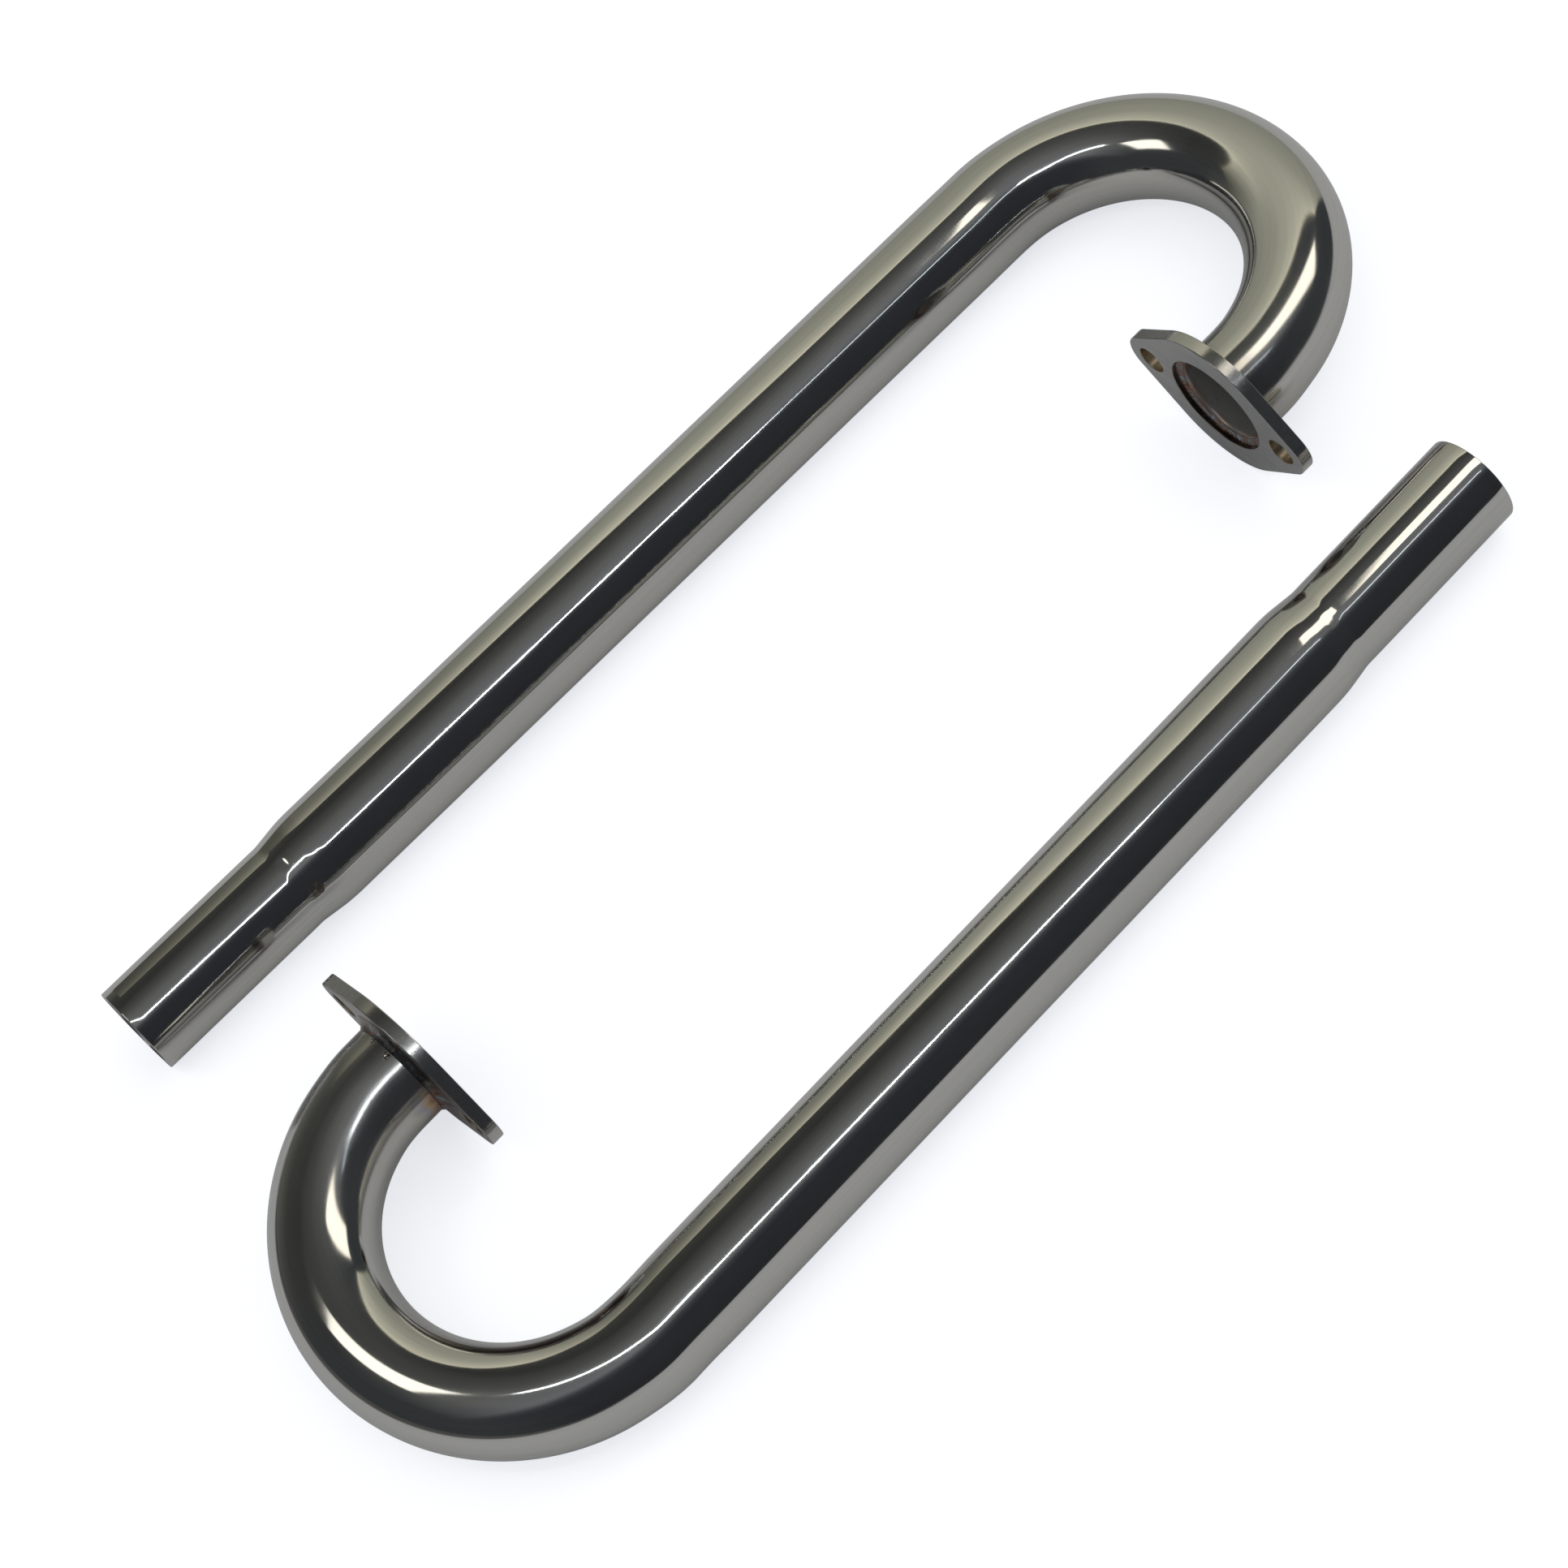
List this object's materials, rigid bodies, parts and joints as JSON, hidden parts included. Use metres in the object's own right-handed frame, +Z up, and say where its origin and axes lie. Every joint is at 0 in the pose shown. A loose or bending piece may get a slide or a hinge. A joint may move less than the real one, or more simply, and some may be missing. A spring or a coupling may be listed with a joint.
{
  "type": "exhaust j-pipe pair",
  "caption": "Pair of polished J-shaped exhaust pipes: tube bent back on itself, swaged slip end, two-bolt oval flange welded on the short leg.",
  "frame": {"origin": "centre of the pair's box on the surface the pipes rest on", "axes": "+Z up; X along the rear pipe's long leg, its slip end towards -X; the rear pipe is on the +Y side"},
  "size_m": [0.5482, 0.2644, 0.061],
  "materials": {
    "polished_tube": "mirror-polished stainless steel, faintly warm",
    "flange_plate": "satin face, polished rim",
    "weld_bead": "rippled bead with brown heat tint",
    "weld_drop": "bright solidified drop"
  },
  "bodies": {
    "root": {"rear_pipe": "polished_tube", "rear_flange": "flange_plate", "rear_outer_weld": "weld_bead", "rear_inner_weld": "weld_bead", "front_pipe": "polished_tube", "front_flange": "flange_plate", "front_outer_weld": "weld_bead", "front_inner_weld": "weld_bead", "front_weld_spatter": "weld_drop"}
  },
  "joints": []
}
